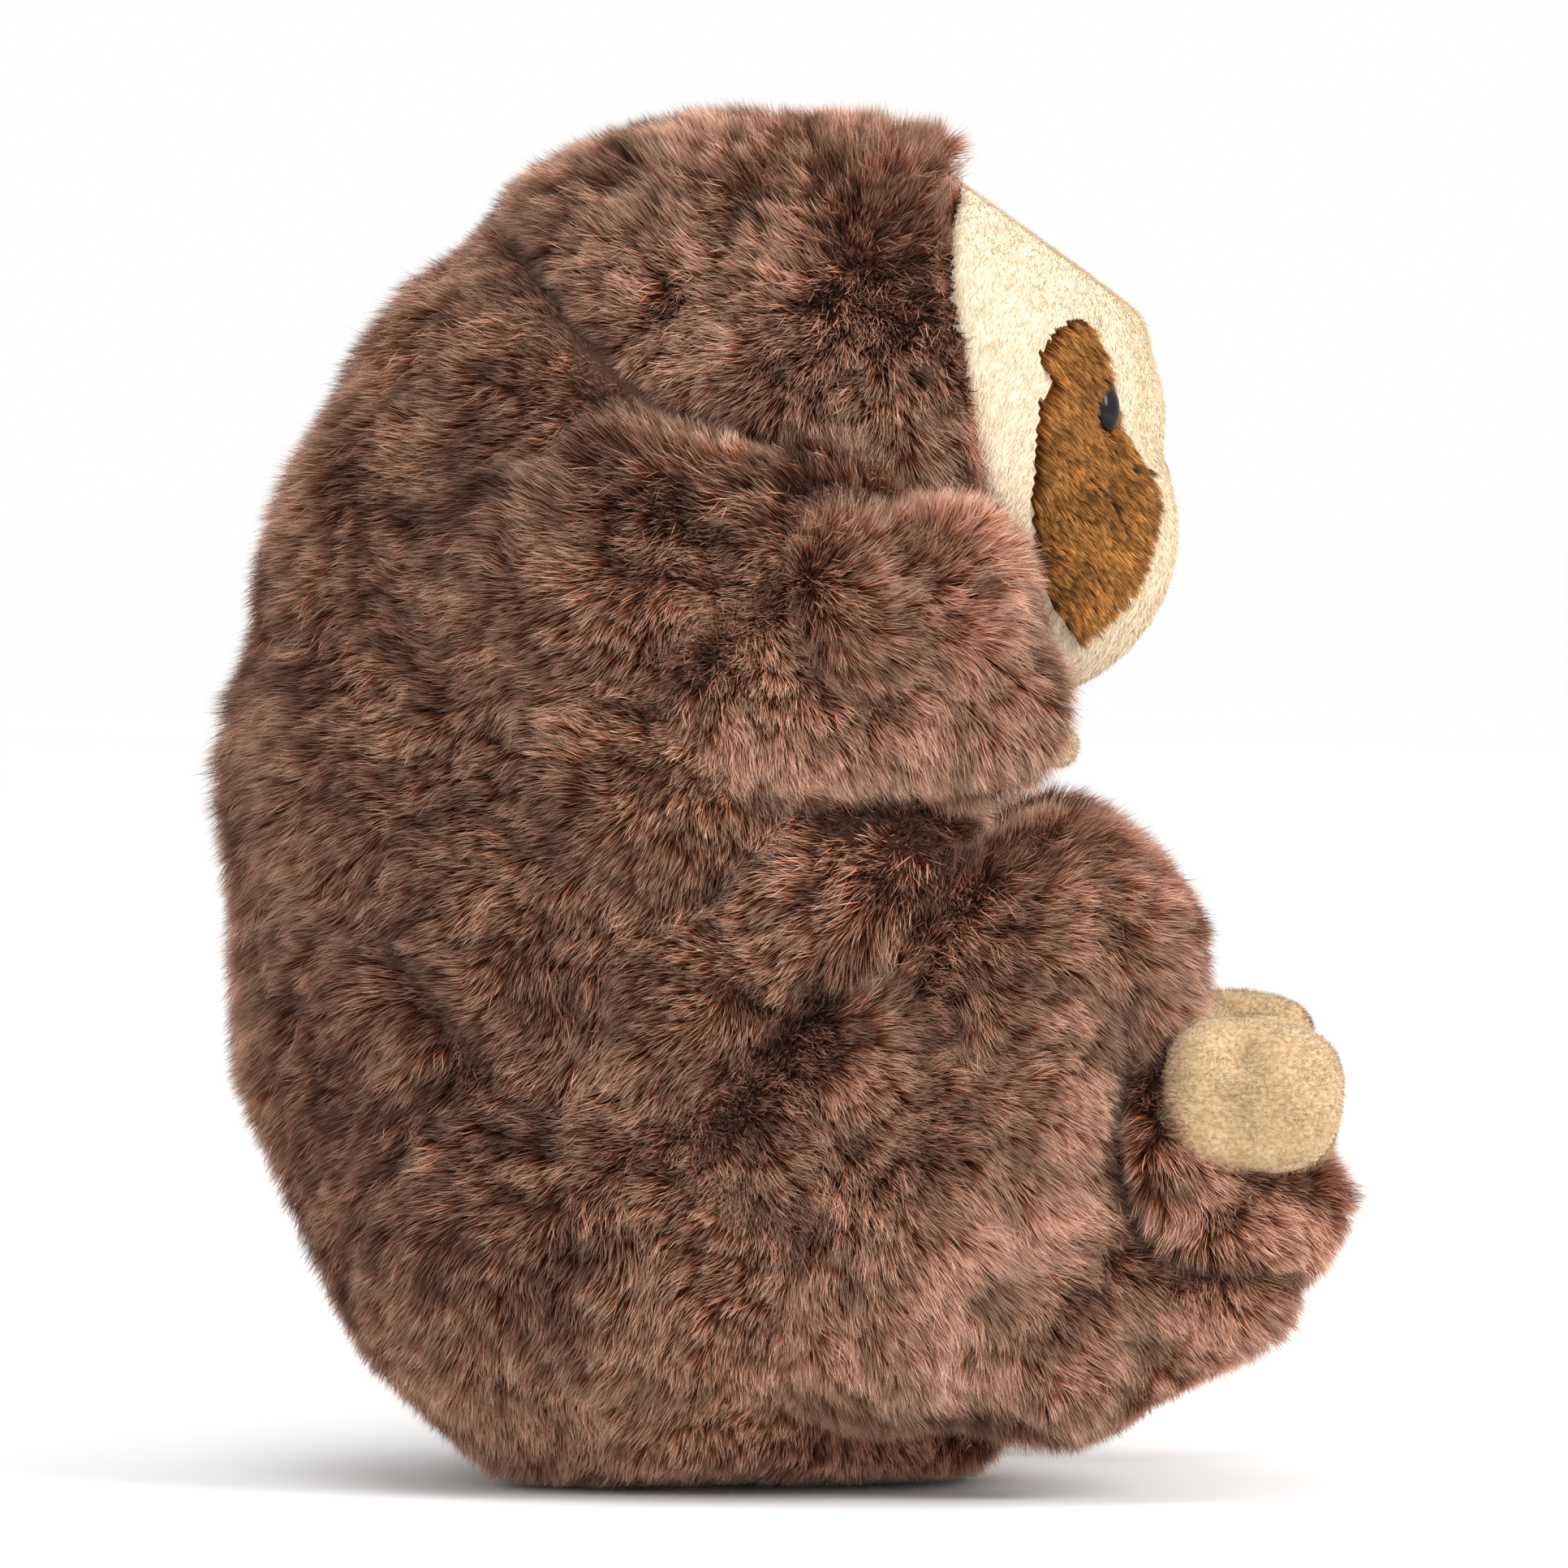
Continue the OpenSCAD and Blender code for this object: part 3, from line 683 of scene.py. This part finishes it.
def combed_one_way(points, way):
    """The same way all over."""
    return np.tile(unit(np.array(way, dtype=float)), (len(points), 1))


def combed_face(points):
    """Out from the middle of the face and down."""
    return unit(np.array([0.5, 0.35, -1]) * np.stack(
        [np.sign(points[:, 0]), np.ones(len(points)), np.ones(len(points))], axis=1))


face_length = 0.0016
face_width = 0.00018
face_density = 8.0
grow_pile("face_panel_pile", head, [2, 5], combed_face, cream_pile, "head", "face_panel",
          face_density, 71, length=face_length, width=face_width, lift=(0.42, 0.2), swirl=0.2, ruffle=0.25,
          pull=0.1, spacing=0.0016, tone_spread=0.01, bent_share=0, unrest=0.05, rounded=1.0)

caramel_pile = pile_finish(
    "caramel_pile", (0.075, 0.022, 0.004), (0.25, 0.095, 0.022), (0.47, 0.225, 0.070), 0.012, 0.25)


def combed_patch(points):
    """Down and forward over the cheek."""
    return combed_one_way(points, (0, -0.55, -0.8))


patch_length = 0.0036
patch_width = 0.00022
patch_density = 30.0
for index, (node, seed) in enumerate((("eye_patch_left", 81), ("eye_patch_right", 91)), start=3):
    grow_pile(node + "_pile", head, [index], combed_patch, caramel_pile, "head", node,
              patch_density, seed, length=patch_length, width=patch_width, lift=(0.8, 0.4), swirl=0.15,
              ruffle=0.16, pull=0.5, spacing=0.0013, tone_spread=0.32, unrest=0.6)

# ---------------------------------------------------------------------------
# The eyes and the nose: domed beads on stems, locked inside by washers.
# The nose sits a little back in the pile of the muzzle.
# ---------------------------------------------------------------------------
eye_gloss, nodes, links, shader = finish_with("eye_gloss", 0.15, Specular_IOR_Level=0.12)
speckle(nodes, links, shader, 0.003, [(0.004, 0.004, 0.005), (0.012, 0.010, 0.010)])
nose_gloss, nodes, links, shader = finish_with("nose_gloss", 0.32, Coat_Weight=0.2, Coat_Roughness=0.2)
speckle(nodes, links, shader, 0.002, [(0.018, 0.009, 0.007), (0.035, 0.018, 0.013)])
washer_white, nodes, links, shader = finish_with("washer_white", 0.45)
speckle(nodes, links, shader, 0.004, [(0.78, 0.78, 0.76), (0.84, 0.84, 0.82)])


def recolour(node, material):
    """Gives a CAD piece that keeps its own shape its material."""
    for holder in frame["nodes"][node].material_slots:
        holder.material = material


for node in ("eye_washer_left", "eye_washer_right", "nose_washer"):
    recolour(node, washer_white)


def turned_to(points, facing):
    """Points whose y axis is turned to face a given way, kept level."""
    forward = unit(np.array(facing, dtype=float))
    across = unit(np.cross(forward, [0, 0, 1]))
    upward = np.cross(across, forward)
    return points[:, :1] * across + points[:, 1:2] * forward + points[:, 2:] * upward


def domed_bead(name, node, material, centre, half, facing, taper=0.0):
    """A flattened bead, wider at the top where it tapers, that faces a given way."""
    points, tris = round_ball(5)
    points[:, 0] = points[:, 0] * (1 - taper * np.clip(-points[:, 2], 0, 1))
    placed = np.array(centre) + turned_to(points * np.array(half), facing)
    bead = plain_piece(name, placed, tris, material, "head")
    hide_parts(node)


eye_half = (0.0031, 0.0020, 0.0045)
eye_place = np.array([0.0300, -0.0553, 0.1896])
eye_facing = np.array([0.55, -0.83, 0.12])
for side, sign in (("left", 1), ("right", -1)):
    domed_bead(f"eye_{side}_bead", f"eye_{side}", eye_gloss,
               eye_place * [sign, 1, 1], eye_half, eye_facing * [sign, 1, 1])

nose_half = (0.0052, 0.0021, 0.0040)
nose_sunk = 0.0036
nose_low, nose_high = corners_of("nose")
domed_bead("nose_bead", "nose", nose_gloss,
           (0, nose_low[1] + nose_half[1] + nose_sunk, (nose_low[2] + nose_high[2]) / 2),
           nose_half, (0, -1, 0.15), taper=0.28)

# ---------------------------------------------------------------------------
# The arms: two panels of the long pile each, stuffed softly and sewn to the
# shoulders, so that they fold forward over the chest.
# ---------------------------------------------------------------------------
limb_detail = 6
limb_depth = 0.0056
limb_room = 0.009
arm_seam = 0.059
# Painted light: the arms' pile is painted lighter, as if lit more brightly than the torso.
arm_painted_light = 1.27
arm_densities = (11.5, 6.5)


def combed_arm(points):
    """Up on top of the arm, turning forward and then down its outside, drawn a little to the hand."""
    top = ramp_up(points[:, 2], 0.146, 0.168)
    turning = 4 * top * (1 - top)
    return np.stack([
        0.5 * np.sign(points[:, 0]) * (1 - top), -0.25 - 0.75 * turning, -0.85 + 1.25 * top], axis=1)


def claimed_by_side(sign, seam):
    """The outer panel covers a limb beyond its seam, and the inner panel covers the rest."""
    return lambda points, own: np.where(sign * points[:, 0] > seam, 0, 1)


def on_side(sign, balls):
    """Balls listed for the left side, moved to the side that the sign gives."""
    return [((sign * x, y, z), radius) for (x, y, z), radius in balls]


def cover_limb(name, limb, filling, shell, comb, densities, seed):
    """The backing of an arm or a leg, and the pile of its outer and inner panels."""
    backing(f"{name}_skin", limb, backing_brown, name, filling)
    for index, (node, density) in enumerate(zip(shell, densities)):
        grow_pile(node + "_pile", limb, [index], comb, brown_pile, name, node,
                  density, seed + index * 5)


arm_balls = [((0.0620, -0.0260, 0.1575), 0.0180), ((0.0620, -0.0090, 0.1550), 0.0200)]
# The fold across the arm, with painted shade along it.
arm_fold = [(0.003, 0.170), (0.000, 0.156), (-0.004, 0.147), (-0.011, 0.140)]
for side, sign, seed in (("left", 1, 101), ("right", -1, 121)):
    shell = [f"arm_{side}_outer", f"arm_{side}_inner"]
    filling = f"arm_{side}_stuffing"
    arm = drawn_in(shell, filling, limb_detail, [limb_depth] * 3, on_side(sign, arm_balls),
                   claim=claimed_by_side(sign, arm_seam))
    creased(arm, arm_fold, 0.0030, 0.0025, 0.35)
    leave_room(arm, f"arm_{side}", limb_room)
    arm.shade = arm.shade * arm_painted_light
    cover_limb(f"arm_{side}", arm, filling, shell, combed_arm, arm_densities, seed)

# ---------------------------------------------------------------------------
# The legs: a wide haunch and a raised knee, cut from the same long pile in
# two panels each and sewn to the hips.
# ---------------------------------------------------------------------------
leg_seam = 0.046
# Painted light: the legs' pile is painted a little lighter, as if lit more brightly than the torso.
leg_painted_light = 1.10
leg_densities = (11.0, 5.5)


def combed_leg(points):
    """Forward and down over the thigh, and straight down near the floor."""
    height = ramp_up(points[:, 2], 0.01, 0.07)
    return unit(np.stack([0.3 * np.sign(points[:, 0]), -0.15 - 0.85 * height, -1 + 0.45 * height], axis=1))


leg_balls = [
    ((0.0460, -0.0450, 0.0335), 0.0260), ((0.0470, -0.0590, 0.0385), 0.0225),
    ((0.0500, -0.0710, 0.0400), 0.0150), ((0.0420, -0.0710, 0.0400), 0.0150),
    ((0.0480, -0.0475, 0.1010), 0.0215), ((0.0500, -0.0350, 0.0895), 0.0280),
    ((0.0520, -0.0100, 0.0740), 0.0270), ((0.0480, 0.0040, 0.0580), 0.0300),
]
calf_press = ((0, -0.0734, 0.0205), (0, -0.522, -0.853), [0, 1])
heel_press = ((0, -0.0868, 0.0290), (0, -0.700, -0.714), [0, 1])
# The fold between the leg and the foot, with painted shade along it.
foot_fold = [(-0.0575, 0.090), (-0.0575, 0.064), (-0.0590, 0.050), (-0.0660, 0.0425), (-0.0840, 0.0410)]
for side, sign, seed in (("left", 1, 141), ("right", -1, 161)):
    shell = [f"leg_{side}_outer", f"leg_{side}_inner"]
    filling = f"leg_{side}_stuffing"
    leg = drawn_in(shell, filling, limb_detail, [limb_depth] * 3, on_side(sign, leg_balls),
                   presses=[calf_press, heel_press], claim=claimed_by_side(sign, leg_seam))
    creased(leg, foot_fold, 0.0040, 0.0045, 0.5)
    leave_room(leg, f"leg_{side}", limb_room)
    leg.shade = leg.shade * leg_painted_light
    # Painted shade in two soft hollows of the thigh.
    shaded_hollows(leg, [(-0.003, 0.082, 0.013), (0.014, 0.050, 0.013)])
    cover_limb(f"leg_{side}", leg, filling, shell, combed_leg, leg_densities, seed)

# ---------------------------------------------------------------------------
# The feet: a stuffed cup of the long pile at the end of each leg, folded up
# so that the sole shows in front.
# ---------------------------------------------------------------------------
# Painted light: the feet's pile is painted lighter, as if lit more brightly than the torso.
foot_painted_light = 1.34
foot_density = 11.5


def combed_foot(points):
    """Down over the sides and the sole, and a little forward."""
    return combed_one_way(points, (0, -0.45, -1))


foot_balls = [
    ((0.0500, -0.0760, 0.0480), 0.0215), ((0.0500, -0.0640, 0.0720), 0.0155),
    ((0.0560, -0.0660, 0.0620), 0.0162),
]
foot_press = ((0, -0.0928, 0.0388), (0, -0.842, -0.541), [0, 1])
for side, sign, seed in (("left", 1, 181), ("right", -1, 201)):
    node, filling = f"foot_{side}_cover", f"foot_{side}_stuffing"
    foot = drawn_in([node], filling, limb_detail, [limb_depth] * 2, on_side(sign, foot_balls),
                    presses=[foot_press, heel_press, calf_press])
    foot.shade = foot.shade * foot_painted_light
    creased(foot, foot_fold, 0.0030, 0.0030, 0.5)
    backing(f"foot_{side}_skin", foot, backing_brown, f"leg_{side}", filling)
    grow_pile(node + "_pile", foot, [0, 1], combed_foot, brown_pile, f"leg_{side}", node,
              foot_density, seed)

# ---------------------------------------------------------------------------
# The claws: puffed lobes of a ribbed, brushed knit, three on each foot and
# three smaller ones on each hand.
# ---------------------------------------------------------------------------
rib_pitch = 0.0010
rib_height = 0.00030
rib_slant = 0.06
lump_size = 0.008
lump_height = 0.0004
stitch_depth = 0.0030
stitch_reach = 0.035
stitch_hollow = 0.0009
hollow_reach = 0.25
knit_tan, nodes, links, shader = finish_with(
    "knit_tan", 0.95, Specular_IOR_Level=0.15, Sheen_Weight=0.3, Sheen_Roughness=0.5)
fleck = speckle(nodes, links, shader, 0.0009, [(0.40, 0.25, 0.125), (0.55, 0.40, 0.24)], 4)
brushed = nodes.new("ShaderNodeBump")
brushed.inputs["Strength"].default_value = 0.5
brushed.inputs["Distance"].default_value = 0.0003
links.new(fleck.outputs["Fac"], brushed.inputs["Height"])
links.new(brushed.outputs["Normal"], shader.inputs["Normal"])
fuzz_tan = pile_finish(
    "fuzz_tan", (0.38, 0.245, 0.12), (0.49, 0.355, 0.205), (0.72, 0.60, 0.43), 0.004, 0.15)
fuzz_length = 0.0012
fuzz_width = 0.00010
fuzz_density = 5.0


def knit_lobe(centre, half, point, rings=110, spokes=130, fullness=2.4, pinch=None):
    """A puffed lobe whose long axis lies along a direction; the ribs run level round it.

    A stitch pulls a dimple into it where the pinch points."""
    theta = np.linspace(0, math.pi, rings + 1)[1:-1]
    phi = np.linspace(0, math.tau, spokes, endpoint=False)
    t, p = (grid.ravel() for grid in np.meshgrid(theta, phi, indexing="ij"))
    ball = np.stack([np.sin(t) * np.cos(p), np.sin(t) * np.sin(p), np.cos(t)], axis=1)
    ball = np.concatenate([ball, [[0, 0, 1], [0, 0, -1]]])
    ball = ball / np.sum(np.abs(ball) ** fullness, axis=1, keepdims=True) ** (1 / fullness)
    points = turned_to(ball * np.array(half), point)
    out = unit(points)
    ribs = np.cos(math.tau * (points[:, 2] + rib_slant * points[:, 1]) / rib_pitch) * (1 - out[:, 2] ** 2)
    lumps = lump_height * drift(points + centre, lump_size, 5)
    if pinch is not None:
        off_stitch = 1 - out @ unit(np.array(pinch, dtype=float))
        lumps = lumps - stitch_depth * np.exp(-off_stitch / stitch_reach)
        lumps = lumps - stitch_hollow * np.exp(-off_stitch / hollow_reach)
    points = centre + points + out * (rib_height * ribs + lumps)[:, None]
    rows = len(theta)
    index = np.arange(rows * spokes).reshape(rows, spokes)
    beside = np.roll(index, -1, axis=1)
    quads = np.concatenate([
        np.stack([index[:-1], index[1:], beside[1:]], axis=-1).reshape(-1, 3),
        np.stack([index[:-1], beside[1:], beside[:-1]], axis=-1).reshape(-1, 3)])
    top = np.stack([np.full(spokes, rows * spokes), index[0], beside[0]], axis=1)
    bottom = np.stack([np.full(spokes, rows * spokes + 1), beside[-1], index[-1]], axis=1)
    return points, np.concatenate([quads, top, bottom])


def knit_claws(name, lobes, node, body, seed):
    """Lobes sewn side by side, and the short fuzz that the brush raised on them."""
    points, tris, start = [], [], 0
    for lobe_points, lobe_tris in lobes:
        points.append(lobe_points)
        tris.append(lobe_tris + start)
        start += len(lobe_points)
    points, tris = np.concatenate(points), np.concatenate(tris)
    skin = Skin(points, tris, np.zeros(len(points), dtype=int))
    backing(name, skin, knit_tan, body, node)
    grow_pile(name + "_fuzz", skin, [0], combed_foot, fuzz_tan, body, None, fuzz_density, seed,
              length=fuzz_length, width=fuzz_width, lift=(1.0, 1.0), swirl=1.5, ruffle=0.5, pull=0.0,
              tone_spread=0.1, bent_share=0)


toe_half = (0.0086, 0.0155, 0.0127)
toe_rise = {-1: -0.0032, 0: -0.0030, 1: 0.0008}
toe_pitch = 0.0160
toe_place = np.array([0.0460, -0.0794, 0.0705])
for side, sign, seed in (("left", 1, 221), ("right", -1, 231)):
    lobes = []
    for place in (-1, 0, 1):
        centre = (toe_place + [place * toe_pitch, 0, toe_rise[place]]) * [sign, 1, 1]
        lobes.append(knit_lobe(
            centre, toe_half, (0, -1, -0.10), fullness=3.2, pinch=(sign * 0.55, 0.18, 0.82)))
    knit_claws(f"toes_{side}_knit", lobes, f"toes_{side}", f"leg_{side}", seed)

claw_half = (0.0036, 0.0075, 0.0038)
claw_fan = math.radians(30)
claw_turn = math.radians(70)
claw_droop = math.radians(25)
claw_out = 0.0165
hand_share = 0.86
hand_inset = 0.003
for side, sign, seed in (("left", 1, 241), ("right", -1, 251)):
    hand_low, hand_high = corners_of(f"arm_{side}_stuffing")
    hand_round = (hand_high[2] - hand_low[2]) / 2 * hand_share
    hand = np.array([joint_place[f"{side}_arm_open"][0] - sign * hand_inset, hand_low[1] + hand_round,
                     (hand_low[2] + hand_high[2]) / 2])
    lobes = []
    for place in (-1, 0, 1):
        turn = claw_turn + place * claw_fan
        point = np.array([-sign * math.sin(turn) * math.cos(claw_droop),
                          -math.cos(turn) * math.cos(claw_droop), -math.sin(claw_droop)])
        lobes.append(knit_lobe(hand + claw_out * point, claw_half, point, 60, 60))
    knit_claws(f"hand_claws_{side}_knit", lobes, f"hand_claws_{side}", f"arm_{side}", seed)

# ---------------------------------------------------------------------------
# Inside and at the seams: the wad in the neck, the pouch of pellets that
# weights the base, and the stitches that closed the back after stuffing.
# ---------------------------------------------------------------------------
wadding, nodes, links, shader = finish_with("wadding", 1.0)
speckle(nodes, links, shader, 0.004, [(0.80, 0.80, 0.78), (0.90, 0.90, 0.88)])
pouch_cotton, nodes, links, shader = finish_with("pouch_cotton", 0.95)
speckle(nodes, links, shader, 0.002, [(0.72, 0.68, 0.60), (0.80, 0.77, 0.70)])
pellet_plastic, nodes, links, shader = finish_with("pellet_plastic", 0.4)
speckle(nodes, links, shader, 0.003, [(0.70, 0.70, 0.68), (0.82, 0.82, 0.80)])
recolour("neck_stuffing", wadding)
recolour("pellet_pouch", pouch_cotton)
recolour("pellets", pellet_plastic)

thread_brown, nodes, links, shader = finish_with("thread_brown", 0.7)
speckle(nodes, links, shader, 0.0008, [(0.06, 0.03, 0.02), (0.10, 0.055, 0.038)])
seam_low, seam_high = corners_of("closing_seam")
stitch_count = 9
stitch_half = (0.0005, 0.0022, 0.0005)
stitch_proud = 0.0003
stitch_points, stitch_tris = [], []
for i in range(stitch_count):
    height = seam_low[2] + (seam_high[2] - seam_low[2]) * (i + 0.5) / stitch_count
    off_seam = np.abs(torso.points[:, 0]) * 4 + np.abs(torso.points[:, 2] - height)
    nearest = torso.points[np.argmin(off_seam + 10 * (torso.points[:, 1] < 0.05))]
    points, tris = knit_lobe(
        np.array([0, nearest[1] + stitch_proud, height]), stitch_half, (1, 0, 0.12), 12, 12, 2.0)
    stitch_tris.append(tris + len(points) * i)
    stitch_points.append(points)
seam_thread = plain_piece(
    "closing_seam_thread", np.concatenate(stitch_points), np.concatenate(stitch_tris), thread_brown, "torso")
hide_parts("closing_seam")
